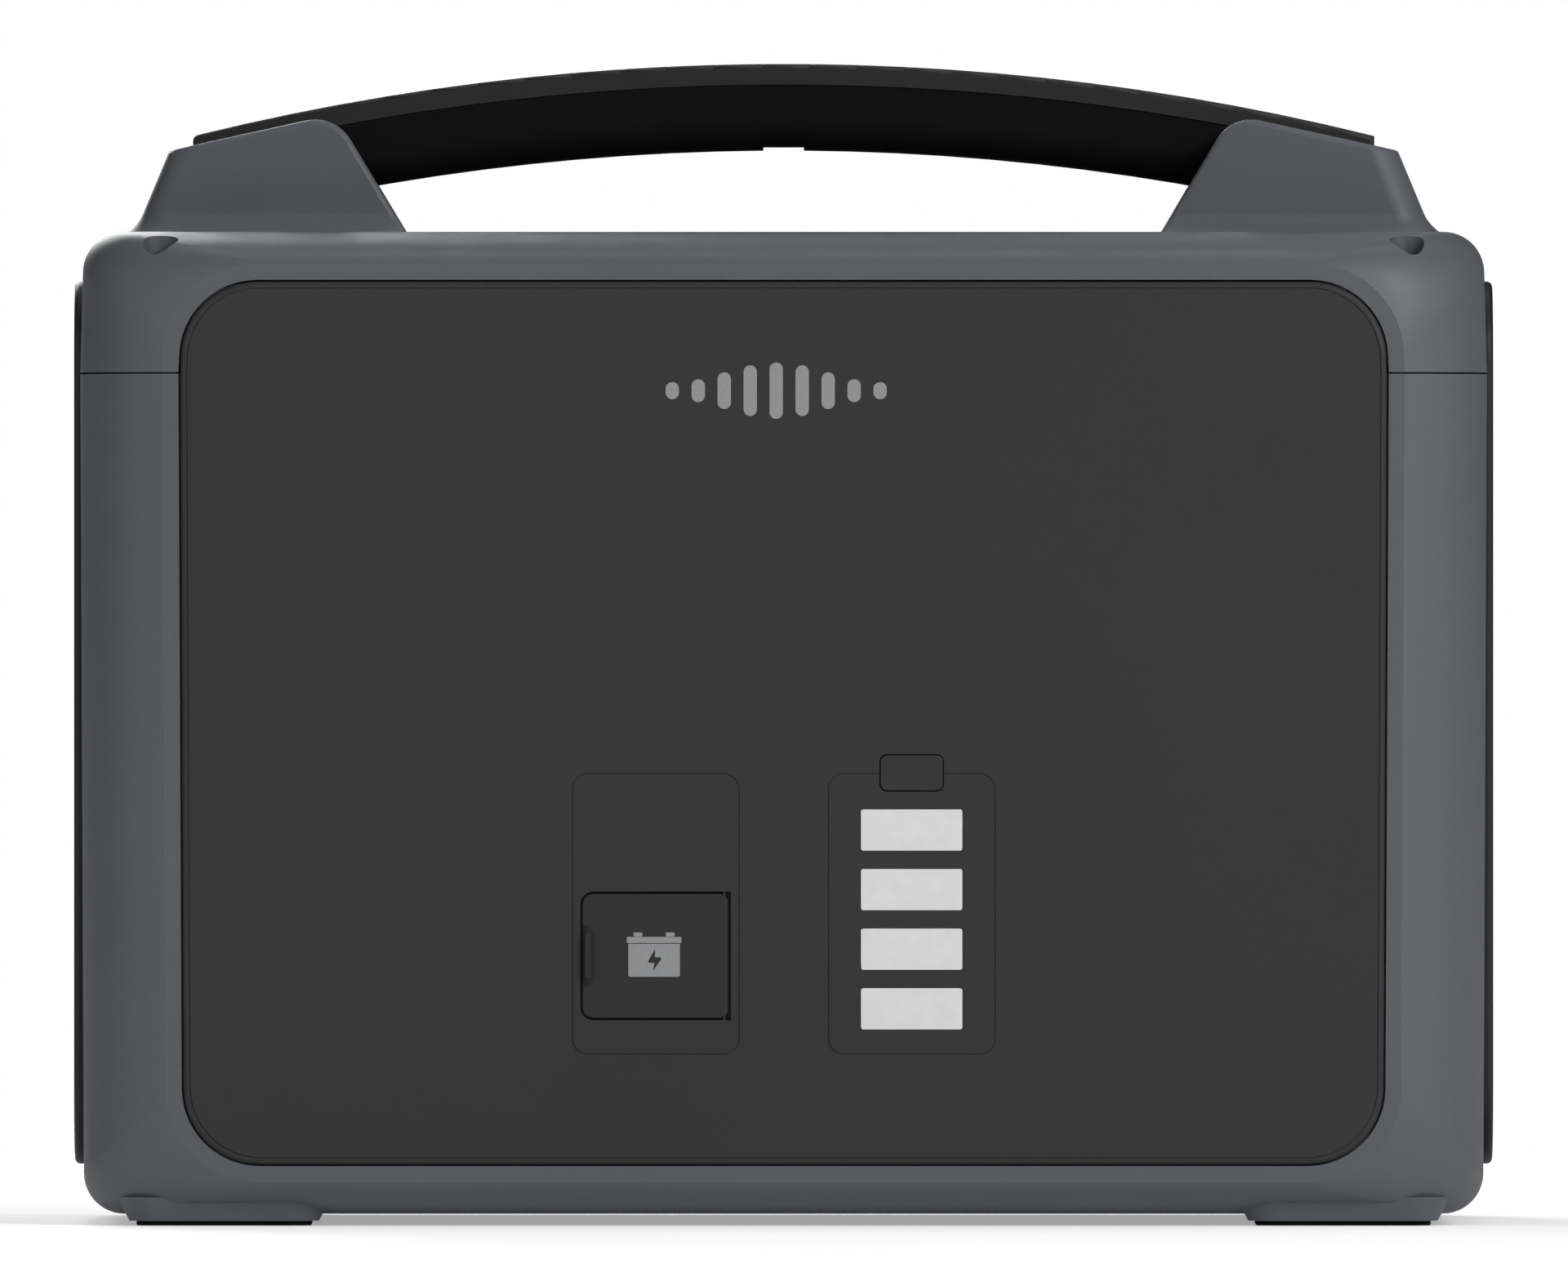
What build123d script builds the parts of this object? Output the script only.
"""Portable power station: a two-part moulded case with a fixed arched handle.

The front panel holds a battery port behind a hinged flap and a four-step charge gauge.
The rear panel holds the mains, vehicle and USB outputs, the display and the controls.
Millimetres. +Z is up, the front faces -Y, and the origin is on the ground under the
middle of the case.
"""

import os
from math import asin, degrees, sqrt

from build123d import *

# ---------------------------------------------------------------- driving dimensions
CASE_WIDTH = 380.0  # over the seam, where the mould halves meet
CASE_DEPTH = 250.0  # over the flat lands around the front and rear panels
CASE_BASE = 3.0  # underside above the ground
CASE_TOP = 268.3
SEAM_Z = 230.0
DRAFT = 1.0  # each side is this much narrower at the top and at the bottom
WALL = 3.0
CORNER_R = 11.0  # edges that run front to back
LAND_R = 25.0  # corners of the flat lands
SHOULDER_SIDE = 22.6  # from the land out to the side
SHOULDER_TOP = 8.9  # from the land up to the top, and down to the underside
SHOULDER_RUN = 30.0  # how far back the shoulders reach
SHOULDER_STEPS = (0, 1, 3, 6.5, 12, 20, 28)
SEAM_GAP = 0.5
TONGUE = 2.5  # height of the lip that keys the halves together
FIT = 0.1  # clearance between pieces that locate each other

RING = 4.3  # flat ring left around a panel
WINDOW_R = 21.0
PANEL_GAP = 0.5
PANEL_PROUD = 0.8
SEAT_DEPTH = 3.2  # from the land back to the ledge that a panel seats on
LEDGE = 5.0  # width of that ledge inside the window
LEDGE_T = 3.0
PANEL_EDGE_R = 1.2
GROOVE = 0.4  # width of the fine outline grooves
GROOVE_DEPTH = 0.3

SIDE_PANEL_INSET = 5.0  # from the end of a shoulder to the side panel
SIDE_PANEL_PROUD = 1.8
SIDE_PANEL_SUNK = 2.6  # from the side of the case in to the seat
SIDE_PANEL_EDGE_R = 1.5
PEG_R, PEG_LENGTH = 1.5, 4.5

HANDLE_RADIUS = 668.0
HANDLE_TOP = 314.7
HANDLE_THICK = 23.3
HANDLE_CAP = 5.6
HANDLE_WIDTH = 38.0
HANDLE_SPAN = 321.2
HANDLE_END_R = 1.8
CHANNEL_GAP = 0.4

HORN_OUTER = 166.7  # outer top corner of a handle horn
HORN_OUTER_Z = 290.8
HORN_CREST = 126.5
HORN_CREST_Z = 299.6
HORN_FOOT = 102.2  # where the inner slope meets the top of the case
HORN_SLOPE = 0.4167  # outward lean of the outer face
HORN_DEPTH = 96.0
HORN_CORNER_R = 8.0
HORN_FLARE = 7.0
HORN_BURIED = 1.5  # how far the flare starts below the top of the case
HORN_ROOT = 4.0  # solid root under the flare, where the handle screws seat
HORN_CREST_R = 11.0
HORN_EDGE_R = 1.5
HORN_LEAN = 0.594  # inward lean of the inner slope
HORN_WALL = 3.5

WELL_IN_SIDE, WELL_IN_FRONT = 22.0, 11.0  # screw well centres, in from the side and the land
WELL_R = 4.75
WELL_FLOOR = 240.0
SHELL_SCREW_BITE = 18.0  # how far a shell screw reaches into its lower post
PANEL_SCREW_R, PANEL_SCREW_BITE = 1.0, 2.4
BOSS_R = 7.0
SCREW_R = 1.9
SCREW_HEAD_R = 3.9

FOOT_IN_SIDE, FOOT_IN_FRONT = 39.0, 27.5
FOOT_LENGTH, FOOT_WIDTH, FOOT_R = 47.3, 30.0, 6.0
PLATFORM_Z = 1.3
PLATFORM_RIM = 1.9
FOOT_SUNK = 1.0

GROUP_X = 34.5  # centres of the two outlined fields on the front panel
GROUP_Z, GROUP_WIDTH, GROUP_HEIGHT, GROUP_R = 84.2, 45.3, 76.0, 4.4

FLAP_Z, FLAP_WIDTH, FLAP_HEIGHT, FLAP_R = 72.9, 39.4, 33.5, 2.9
FLAP_T = 2.4
FLAP_EDGE_R = 0.4
FLAP_GAP = 0.6
SWING_CORNER_R = 2.0  # tighter corners of the opening beside the hinge, so that the flap swings clear
HINGE_PIN_R = 0.6
HINGE_PLAY = 0.05
PULL_WIDTH, PULL_HEIGHT, PULL_CREST, PULL_RISE = 3.0, 17.8, 12.0, 2.2
SEAT_CLEAR = 0.3  # from the rim of the port to the back of the closed flap
PORT_IN_WIDTH, PORT_IN_HEIGHT, PORT_DEPTH = 3.7, 4.25, 12.0  # recess edges, in from the flap's
PORT_WALL = 2.0

KEY_WIDTH, KEY_HEIGHT, KEY_R = 16.8, 9.6, 1.9
KEY_GAP, KEY_PROUD, KEY_TRAVEL = 0.3, 0.3, 1.0
KEY_RIM = 1.6
LEVEL_KEY_Z = 122.2
BAR_WIDTH, BAR_HEIGHT, BAR_R, BAR_PITCH, BAR_TOP_Z = 27.3, 11.1, 0.7, 16.06, 106.8
BAR_COUNT = 4
LIGHT_BOX_DEPTH = 8.2
BOARD_T = 1.6

CELL_R, CELL_LENGTH, CELL_PITCH = 16.1, 70.5, 33.6
CELL_COLUMNS, CELL_ROWS = 10, 3
CELL_FIRST_Z = 27.0
BANK_GAP = 6.0
HOLDER_T = 10.0
STRIP_T = 0.5
PACK_BASE_Z = 9.0
PLATE_Z, PLATE_T = 118.0, 2.0
POST_IN_SIDE, POST_Y, POST_R = 12.0, 60.0, 5.0
SMALL_SCREW_R = 1.5

FAN_SIZE, FAN_T, FAN_Z, FAN_BORE_R = 80.0, 20.0, 170.0, 38.0
ROTOR_R, HUB_R, FAN_BLADES = 36.5, 16.0, 7
SLOT_LENGTH, SLOT_WIDTH, SLOT_PITCH, SLOT_ROWS = 34.0, 3.0, 6.5, 11

OUTLET_X = (-120.0, -60.0)
OUTLET_Z = 118.0
OUTLET_PLATE, OUTLET_RISE = 52.0, 2.2
OUTLET_WELL_R, OUTLET_WELL_DEPTH, OUTLET_BODY_R = 19.25, 17.0, 22.0
PIN_SPACING, PIN_HOLE_R = 19.0, 2.5
USB_X, CAR_X = 60.0, 120.0
CAR_BORE_R, CAR_DEPTH, CAR_BODY_R = 10.75, 34.0, 14.0
DISPLAY_Z, DISPLAY_WIDTH, DISPLAY_HEIGHT = 206.0, 96.0, 42.0
KEYS_Z, SIDE_KEY_X, POWER_KEY_R = 163.0, 90.0, 8.0
INLET_X, INLET_WIDTH, INLET_HEIGHT, INLET_DEPTH = 0.0, 24.2, 16.8, 15.0
INLET_CHAMFER, INLET_WALL = 5.0, 2.5
USB_WIDTH, USB_HEIGHT = 46.0, 40.0
WINDOW_T = 1.8

CAP_EDGE_R, GRIP_EDGE_R = 1.3, 8.0
NOTCH_WIDTH, NOTCH_HEIGHT = 11.0, 0.9
HANDLE_SCREW_TOP = 284.0
SCREW_HEAD_T = 2.6
RIM_LINE = 1.5  # fine line around a panel, this far in from its edge
BLADE_T, BLADE_HEIGHT, BLADE_PITCH, BLADE_COUNT = 1.0, 12.0, 5.5, 5
SWITCH_RISE = 4.5

STANDOFF, PLATE_Y, PLATE_DEPTH = 6.0, -10.0, 160.0
INVERTER_X, INVERTER_WIDTH = 35.0, 190.0
BMS_X, BMS_WIDTH = -115.0, 80.0
SINK_LENGTH, SINK_PITCH, SINK_HEIGHT, CORE_HEIGHT = 120.0, 4.8, 38.0, 44.0
LEAD_R, SHAFT_R = 2.5, 1.5

# ---------------------------------------------------------------- derived places
HALF_DEPTH = CASE_DEPTH / 2
HALF_WIDTH = CASE_WIDTH / 2
SIDE_PANEL_LENGTH = CASE_DEPTH - 2 * (SHOULDER_RUN + SIDE_PANEL_INSET)
SIDE_PANEL_SEAT = HALF_WIDTH - SIDE_PANEL_SUNK
SIDE_PANEL_FACE = HALF_WIDTH + SIDE_PANEL_PROUD
WELL_X, WELL_Y = HALF_WIDTH - WELL_IN_SIDE, HALF_DEPTH - WELL_IN_FRONT
FOOT_X, FOOT_Y = HALF_WIDTH - FOOT_IN_SIDE, HALF_DEPTH - FOOT_IN_FRONT
POST_X = HALF_WIDTH - POST_IN_SIDE
PORT_WIDTH, PORT_HEIGHT = FLAP_WIDTH - 2 * PORT_IN_WIDTH, FLAP_HEIGHT - 2 * PORT_IN_HEIGHT
LEDGE_Y = HALF_DEPTH - SEAT_DEPTH  # faces of the ledges that the panels seat on
PANEL_FACE = HALF_DEPTH + PANEL_PROUD
OUTER_Y = PANEL_FACE + OUTLET_RISE  # foremost and rearmost faces
WINDOW_SIDE = SHOULDER_SIDE + RING
WINDOW_TOP = SHOULDER_TOP + RING
WINDOW_LOW = CASE_BASE + WINDOW_TOP
WINDOW_HIGH = CASE_TOP - WINDOW_TOP
WINDOW_MID_Z = (WINDOW_LOW + WINDOW_HIGH) / 2
HANDLE_AXIS = Axis((0, 0, HANDLE_TOP - HANDLE_RADIUS), (0, 1, 0))
HINGE_X = -GROUP_X + FLAP_WIDTH / 2 - FLAP_T / 2
HINGE_Y = -PANEL_FACE + FLAP_T / 2
BANK_Y = (BANK_GAP + CELL_LENGTH) / 2
PACK_WIDTH = CELL_COLUMNS * CELL_PITCH + 6
PACK_TOP_Z = CELL_FIRST_Z + (CELL_ROWS - 0.5) * CELL_PITCH + 1.5
BOARD_Y = LEDGE_Y - LIGHT_BOX_DEPTH
SWITCH_TIP_Y = BOARD_Y + SWITCH_RISE
PIN_HALF = FLAP_HEIGHT / 2 + FLAP_GAP + 3
BARS = [(GROUP_X, BAR_TOP_Z - step * BAR_PITCH) for step in range(BAR_COUNT)]
BOARD_POSTS = [
    (GROUP_X + side * (BAR_WIDTH / 2 + 5), z) for side in (-1, 1) for z in (BAR_TOP_Z, BARS[-1][1])
]
BLADES = [(-GROUP_X + (step - (BLADE_COUNT - 1) / 2) * BLADE_PITCH, FLAP_Z) for step in range(BLADE_COUNT)]
OUTLETS = [(x, OUTLET_Z) for x in OUTLET_X]
SIDE_KEYS = [(-SIDE_KEY_X, KEYS_Z), (SIDE_KEY_X, KEYS_Z)]
CONTROL_POSTS = [(side * (SIDE_KEY_X + 15), KEYS_Z) for side in (-1, 1)] + [(-20, KEYS_Z), (20, KEYS_Z)]
STANDOFFS = [
    (x + side * (width / 2 - 5), PLATE_Y + row * (PLATE_DEPTH / 2 - 15))
    for x, width in ((INVERTER_X, INVERTER_WIDTH), (BMS_X, BMS_WIDTH)) for side in (-1, 1) for row in (-1, 1)
]
FAN_SCREWS = [(y * 35.75, FAN_Z + z * 35.75) for y in (-1, 1) for z in (-1, 1)]
WELLS = [(x * WELL_X, y * WELL_Y) for x in (-1, 1) for y in (-1, 1)]
PLATE_POSTS = [(x * POST_X, y * POST_Y) for x in (-1, 1) for y in (-1, 1)]


def facing(y):
    """A sketch plane seen from the front: local x is world x, local y is world z."""
    return Plane(origin=(0, y, 0), x_dir=(1, 0, 0), z_dir=(0, -1, 0))


def side_plane(x):
    """A sketch plane seen from the right: local x is world y, local y is world z."""
    return Plane(origin=(x, 0, 0), x_dir=(0, 1, 0), z_dir=(1, 0, 0))


def blocks(width, height, radius, places, y_front, y_back, mode=Mode.ADD):
    """Round-cornered blocks that run front to back, at front-view places."""
    with BuildSketch(facing(y_back)) as face:
        with Locations(*places):
            RectangleRounded(width, height, radius)
    extrude(face.sketch, amount=y_back - y_front, mode=mode)


def rods(radius, places, y_front, y_back, mode=Mode.ADD):
    """Round bars that run front to back, at front-view places."""
    with BuildSketch(facing(y_back)) as face:
        with Locations(*places):
            Circle(radius)
    extrude(face.sketch, amount=y_back - y_front, mode=mode)


def pillars(radius, places, z_low, z_high, mode=Mode.ADD):
    """Upright round bars at places in plan."""
    with BuildSketch(Plane.XY.offset(z_low)) as plan:
        with Locations(*places):
            Circle(radius)
    extrude(plan.sketch, amount=z_high - z_low, mode=mode)


def keep_between(z_low, z_high):
    """Cut the open part down to what lies between two heights."""
    with Locations((0, 0, z_low)):
        Box(
            2 * CASE_WIDTH, 2 * CASE_DEPTH, z_high - z_low,
            align=(Align.CENTER, Align.CENTER, Align.MIN), mode=Mode.INTERSECT,
        )


def save(builder, name):
    """Label a finished piece and write its STEP file."""
    builder.part.label = name
    export_step(builder.part, f"parts/{name}.step")


# ---------------------------------------------------------------- case form
def outline(y, side, top, radius):
    """The case seen from the front at a distance y, drawn in by side and top."""
    seam = CASE_WIDTH / 2 - side
    end = seam - DRAFT
    low, high = CASE_BASE + top, CASE_TOP - top
    with BuildSketch(facing(y)) as shape:
        with BuildLine():
            Polyline(
                (-end, low), (end, low), (seam, SEAM_Z), (end, high), (-end, high), (-seam, SEAM_Z),
                close=True,
            )
        make_face()
        rows = shape.vertices().group_by(Axis.Y)
        fillet(rows[0] + rows[-1], radius)
    return shape.sketch


def outline_slab(side, top, radius, y_front, y_back, mode=Mode.ADD):
    """A slab of that outline between two distances, in the open part."""
    extrude(outline(y_back, side, top, radius), amount=y_back - y_front, mode=mode)


def left_at(run, fullness):
    """Share of a shoulder that is left at a share of its run; it meets the land at an angle."""
    reach = fullness * (1 - run)
    return (1 - sqrt(1 - reach**2)) / (1 - sqrt(1 - fullness**2))


def case_section(depth, inset):
    """Cross-section of the case at a depth behind the front land, drawn in by a wall."""
    side_left = left_at(depth / SHOULDER_RUN, 0.93)
    top_left = left_at(depth / SHOULDER_RUN, 0.99)
    radius = CORNER_R + (LAND_R - CORNER_R) * side_left - inset
    return outline(
        depth + inset - HALF_DEPTH, SHOULDER_SIDE * side_left + inset, SHOULDER_TOP * top_left + inset, radius
    )


def case_form(inset):
    """The closed form of the case: lofted shoulders front and rear, and a straight middle."""
    with BuildPart() as form:
        depths = [*SHOULDER_STEPS, SHOULDER_RUN]
        loft([case_section(depth, inset).face() for depth in depths])
        mirror(about=Plane.XZ)
        middle = CASE_DEPTH - 2 * inset - 2 * SHOULDER_RUN
        extrude(case_section(SHOULDER_RUN, inset), amount=-middle)
    return form.part


def side_slab(grow, x_in, x_out, mode=Mode.ADD):
    """A slab of the side panel's outline, grown or shrunk, on both sides of the case."""
    with BuildSketch(side_plane(x_in)) as shape:
        with Locations((0, WINDOW_MID_Z)):
            RectangleRounded(
                SIDE_PANEL_LENGTH + 2 * grow, WINDOW_HIGH - WINDOW_LOW + 2 * grow, WINDOW_R + grow
            )
    slab = extrude(shape.sketch, amount=x_out - x_in, mode=Mode.PRIVATE)
    add(slab, mode=mode)
    add(slab.mirror(Plane.YZ), mode=mode)


def inside_posts(radius, z_low, z_high):
    """Screw posts in the four corners, kept within the wall of the case."""
    with BuildPart() as posts:
        pillars(radius, WELLS, z_low, z_high)
        add(case_form(WALL / 3), mode=Mode.INTERSECT)
    return posts.part


def side_peg_spots():
    """Side-view places of the pegs that hold a side panel to its ledge."""
    span = SIDE_PANEL_LENGTH - 4 * WINDOW_R
    z = (WINDOW_HIGH - WINDOW_LOW - LEDGE) / 2
    return [(y * span / 2, WINDOW_MID_Z + row * z) for y in (-1, 1) for row in (-1, 1)]


def side_pegs(radius, x_in, x_out, mode=Mode.ADD):
    """Those pegs, or their holes, on both sides of the case."""
    with BuildSketch(side_plane(x_in)) as shape:
        with Locations(*side_peg_spots()):
            Circle(radius)
    pegs = extrude(shape.sketch, amount=x_out - x_in, mode=Mode.PRIVATE)
    add(pegs, mode=mode)
    add(pegs.mirror(Plane.YZ), mode=mode)


def case_blank():
    """The hollow case before it is parted, with its ledges, windows and foot platforms."""
    with BuildPart() as blank:
        add(case_form(0))
        with BuildSketch(Plane.XY.offset(PLATFORM_Z)):
            with GridLocations(2 * FOOT_X, 2 * FOOT_Y, 2, 2):
                RectangleRounded(
                    FOOT_LENGTH + 2 * PLATFORM_RIM, FOOT_WIDTH + 2 * PLATFORM_RIM, FOOT_R + PLATFORM_RIM
                )
        extrude(amount=2 * (CASE_BASE - PLATFORM_Z) + WALL, taper=-28)
        add(case_form(WALL), mode=Mode.SUBTRACT)
        for sign in (-1, 1):
            y_face = sign * LEDGE_Y
            y_back = sign * (LEDGE_Y - LEDGE_T)
            near, far = sorted((y_face, y_back))
            rim = outline(far, WINDOW_SIDE - 3, WINDOW_TOP - 2.2, WINDOW_R + 3)
            hole = outline(far, WINDOW_SIDE + LEDGE, WINDOW_TOP + LEDGE, WINDOW_R - LEDGE)
            extrude(rim - hole, amount=far - near)
            near, far = sorted((y_face, sign * (HALF_DEPTH + 1)))
            outline_slab(WINDOW_SIDE, WINDOW_TOP, WINDOW_R, near, far, Mode.SUBTRACT)
        side_slab(4, SIDE_PANEL_SEAT - LEDGE_T, SIDE_PANEL_SEAT)
        side_slab(PANEL_GAP, SIDE_PANEL_SEAT, SIDE_PANEL_FACE, Mode.SUBTRACT)
        side_slab(-LEDGE, SIDE_PANEL_SEAT - LEDGE_T, SIDE_PANEL_SEAT, Mode.SUBTRACT)
        side_pegs(PEG_R + FIT, SIDE_PANEL_SEAT - LEDGE_T - 1, SIDE_PANEL_SEAT + 1, Mode.SUBTRACT)
    return blank.part


def panel_screw_spots():
    """Front-view places of the screws that hold a panel to its ledge."""
    x = CASE_WIDTH / 2 - WINDOW_SIDE - DRAFT - LEDGE / 2
    span = WINDOW_HIGH - WINDOW_LOW - 4 * WINDOW_R
    return [(side * x, WINDOW_MID_Z + row * span / 2) for side in (-1, 1) for row in (-1, 0, 1)]


def panel_screw_holes(radius, y_front, y_back):
    """Holes for those screws, in the open part."""
    with BuildSketch(facing(y_back)) as holes:
        with Locations(*panel_screw_spots()):
            Circle(radius)
    extrude(holes.sketch, amount=y_back - y_front, mode=Mode.SUBTRACT)


def lower_shell(blank):
    """The tub: floor, foot platforms, posts for the upper shell and rails for the pack."""
    with BuildPart() as shell:
        add(blank)
        top = SEAM_Z - SEAM_GAP / 2
        keep_between(0, top)
        with BuildPart(mode=Mode.PRIVATE) as tongue:
            add(case_form(WALL / 2 + FIT))
            add(case_form(WALL), mode=Mode.SUBTRACT)
            keep_between(top - WALL, top + TONGUE)
            for sign in (-1, 1):
                near, far = sorted((sign * LEDGE_Y, sign * (HALF_DEPTH + 1)))
                outline_slab(WINDOW_SIDE, WINDOW_TOP, WINDOW_R, near, far, Mode.SUBTRACT)
            side_slab(PANEL_GAP, SIDE_PANEL_SEAT - LEDGE_T, SIDE_PANEL_FACE, Mode.SUBTRACT)
            pillars(BOSS_R + FIT, WELLS, SEAM_Z - WALL, CASE_TOP, Mode.SUBTRACT)
        add(tongue.part)
        add(inside_posts(BOSS_R, CASE_BASE, top))
        pillars(POST_R, PLATE_POSTS, CASE_BASE + WALL / 2, PLATE_Z)
        with BuildSketch(Plane.XY.offset(CASE_BASE + WALL / 2)):
            with Locations(*[(0, side * (BANK_Y + end * (CELL_LENGTH - HOLDER_T) / 2))
                             for side in (-1, 1) for end in (-1, 1)]):
                Rectangle(PACK_WIDTH, HOLDER_T - 4)
        extrude(amount=PACK_BASE_Z - CASE_BASE - WALL / 2)
        pillars(SCREW_R + HINGE_PLAY, WELLS, top - SHELL_SCREW_BITE - 2, top, Mode.SUBTRACT)
        pillars(SMALL_SCREW_R + HINGE_PLAY, PLATE_POSTS, PLATE_Z - 14, PLATE_Z, Mode.SUBTRACT)
        with BuildSketch(Plane.XY.offset(PLATFORM_Z)):
            with GridLocations(2 * FOOT_X, 2 * FOOT_Y, 2, 2):
                RectangleRounded(FOOT_LENGTH + 2 * FIT, FOOT_WIDTH + 2 * FIT, FOOT_R + FIT)
        extrude(amount=FOOT_SUNK, mode=Mode.SUBTRACT)
        panel_screw_holes(PANEL_SCREW_R + HINGE_PLAY, -LEDGE_Y - 1, -LEDGE_Y + LEDGE_T + 1)
        panel_screw_holes(PANEL_SCREW_R + HINGE_PLAY, LEDGE_Y - LEDGE_T - 1, LEDGE_Y + 1)
    save(shell, "lower_shell")


def horn_plan(z, flare):
    """Plan of both handle horns at one height, reaching past their inner slopes."""
    outer = HORN_OUTER + (HORN_OUTER_Z - z) * HORN_SLOPE + flare
    inner = HORN_FOOT - 12
    with BuildSketch(Plane.XY.offset(z)) as plan:
        with Locations(((outer + inner) / 2, 0)):
            RectangleRounded(outer - inner, HORN_DEPTH + 2 * flare, HORN_CORNER_R + flare)
    return plan.sketch.face()


def horn_profile(y, inset, crest_r=0):
    """Front view of the right horn at a distance y: sloping top, crest and inner slope."""
    low = CASE_TOP - HORN_BURIED - HORN_ROOT - 2
    top_slope = (HORN_CREST_Z - HORN_OUTER_Z) / (HORN_OUTER - HORN_CREST)
    outer_x = HORN_OUTER + 20 - inset
    crest_x = HORN_FOOT + (HORN_CREST_Z + 1.4 - CASE_TOP) * HORN_LEAN
    crest_z = HORN_OUTER_Z + (HORN_OUTER - crest_x) * top_slope
    with BuildSketch(facing(y)) as view:
        with BuildLine():
            Polyline(
                (outer_x, low),
                (outer_x, HORN_OUTER_Z - (outer_x - HORN_OUTER) * top_slope - inset),
                (crest_x + inset, crest_z - 1.2 * inset),
                (HORN_FOOT + (low - CASE_TOP) * HORN_LEAN + 1.2 * inset, low),
                close=True,
            )
        make_face()
        if crest_r:
            fillet(view.vertices().group_by(Axis.Y)[-1], crest_r)
    return view.sketch


def horn_rim(edges):
    """The edges that run around the top of a horn and down its inner slope."""
    rim = []
    for edge in edges:
        middle, along = edge.center(), edge.tangent_at(0.5)
        above_flare = middle.Z > CASE_TOP - HORN_BURIED + HORN_FLARE + HORN_EDGE_R
        across = abs(along.Y) > 0.99 and middle.X < HORN_OUTER - 1
        upright = abs(along.Z) > 0.9 and middle.X > HORN_CREST
        if above_flare and not across and not upright:
            rim.append(edge)
    return rim


def horn_block():
    """The right horn as a solid block, flared at its foot and round along its crest."""
    foot_z = CASE_TOP - HORN_BURIED
    with BuildPart() as horn:
        rises = (0, 0.4, 1.5, 3.2, 5.2, HORN_FLARE)
        flares = [HORN_FLARE - sqrt(HORN_FLARE**2 - (HORN_FLARE - rise) ** 2) for rise in rises]
        loft([horn_plan(foot_z + rise, flare) for rise, flare in zip(rises, flares)])
        loft([horn_plan(foot_z + HORN_FLARE, 0), horn_plan(HORN_CREST_Z + 6, 0)])
        loft([horn_plan(foot_z - HORN_ROOT, HORN_FLARE), horn_plan(foot_z, HORN_FLARE)])
        extrude(horn_profile(HORN_DEPTH, 0, HORN_CREST_R), amount=2 * HORN_DEPTH, mode=Mode.INTERSECT)
        fillet(horn_rim(horn.edges()), HORN_EDGE_R)
    return horn.part


def handle_sweep(section, half_span, mode=Mode.ADD):
    """Turn a section about the handle's arc axis, and trim it to a half span each way."""
    turn = degrees(asin(half_span / (HANDLE_RADIUS - HANDLE_THICK - 5))) + 1
    with BuildPart(mode=Mode.PRIVATE) as arch:
        revolve(section.sketch, axis=HANDLE_AXIS, revolution_arc=turn)
        mirror(about=Plane.YZ)
        Box(2 * half_span, 200, 4 * HANDLE_TOP, mode=Mode.INTERSECT)
    add(arch.part, mode=mode)


def handle_screw_spots():
    """Plan places of the screws that hold the handle down, two in each horn."""
    x = HANDLE_SPAN / 2 - 14
    return [(side * x, row * HANDLE_WIDTH / 4) for side in (-1, 1) for row in (-1, 1)]


def upper_shell(blank):
    """The lid: handle horns with their channel, screw wells and the groove for the tongue."""
    with BuildPart() as shell:
        add(blank)
        bottom = SEAM_Z + SEAM_GAP / 2
        keep_between(bottom, CASE_TOP)
        with BuildPart(mode=Mode.SUBTRACT):
            add(case_form(WALL / 2))
            keep_between(bottom, bottom + TONGUE - SEAM_GAP + FIT)
        horn = horn_block()
        add(horn)
        add(horn.mirror(Plane.YZ))
        with BuildPart(mode=Mode.SUBTRACT):
            for sign in (-1, 1):
                pocket_width = (HORN_DEPTH - HANDLE_WIDTH) / 2 - CHANNEL_GAP - 2 * HORN_WALL
                pocket_y = sign * (HORN_DEPTH + HANDLE_WIDTH + 2 * CHANNEL_GAP) / 4
                extrude(horn_profile(pocket_y + pocket_width / 2, HORN_WALL), amount=pocket_width)
            with Locations((HORN_OUTER - HORN_WALL - 1, 0, 0)):
                Box(
                    60, 400, 800,
                    align=(Align.MIN, Align.CENTER, Align.CENTER), mode=Mode.SUBTRACT,
                )
            mirror(about=Plane.YZ)
        with BuildSketch(Plane.YZ, mode=Mode.PRIVATE) as channel:
            with Locations((0, HANDLE_TOP + 10)):
                Rectangle(
                    HANDLE_WIDTH + 2 * CHANNEL_GAP, HANDLE_THICK + FIT + 10, align=(Align.CENTER, Align.MAX)
                )
        handle_sweep(channel, HANDLE_SPAN / 2 + CHANNEL_GAP, Mode.SUBTRACT)
        add(inside_posts(BOSS_R, bottom, CASE_TOP))
        pillars(WELL_R, WELLS, WELL_FLOOR, CASE_TOP, Mode.SUBTRACT)
        holes = [*WELLS, *handle_screw_spots()]
        pillars(SCREW_R + FIT, holes, bottom - 1, HANDLE_TOP, Mode.SUBTRACT)
        panel_screw_holes(PANEL_SCREW_R + HINGE_PLAY, -LEDGE_Y - 1, -LEDGE_Y + LEDGE_T + 1)
        panel_screw_holes(PANEL_SCREW_R + HINGE_PLAY, LEDGE_Y - LEDGE_T - 1, LEDGE_Y + 1)
    save(shell, "upper_shell")
    return shell


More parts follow.
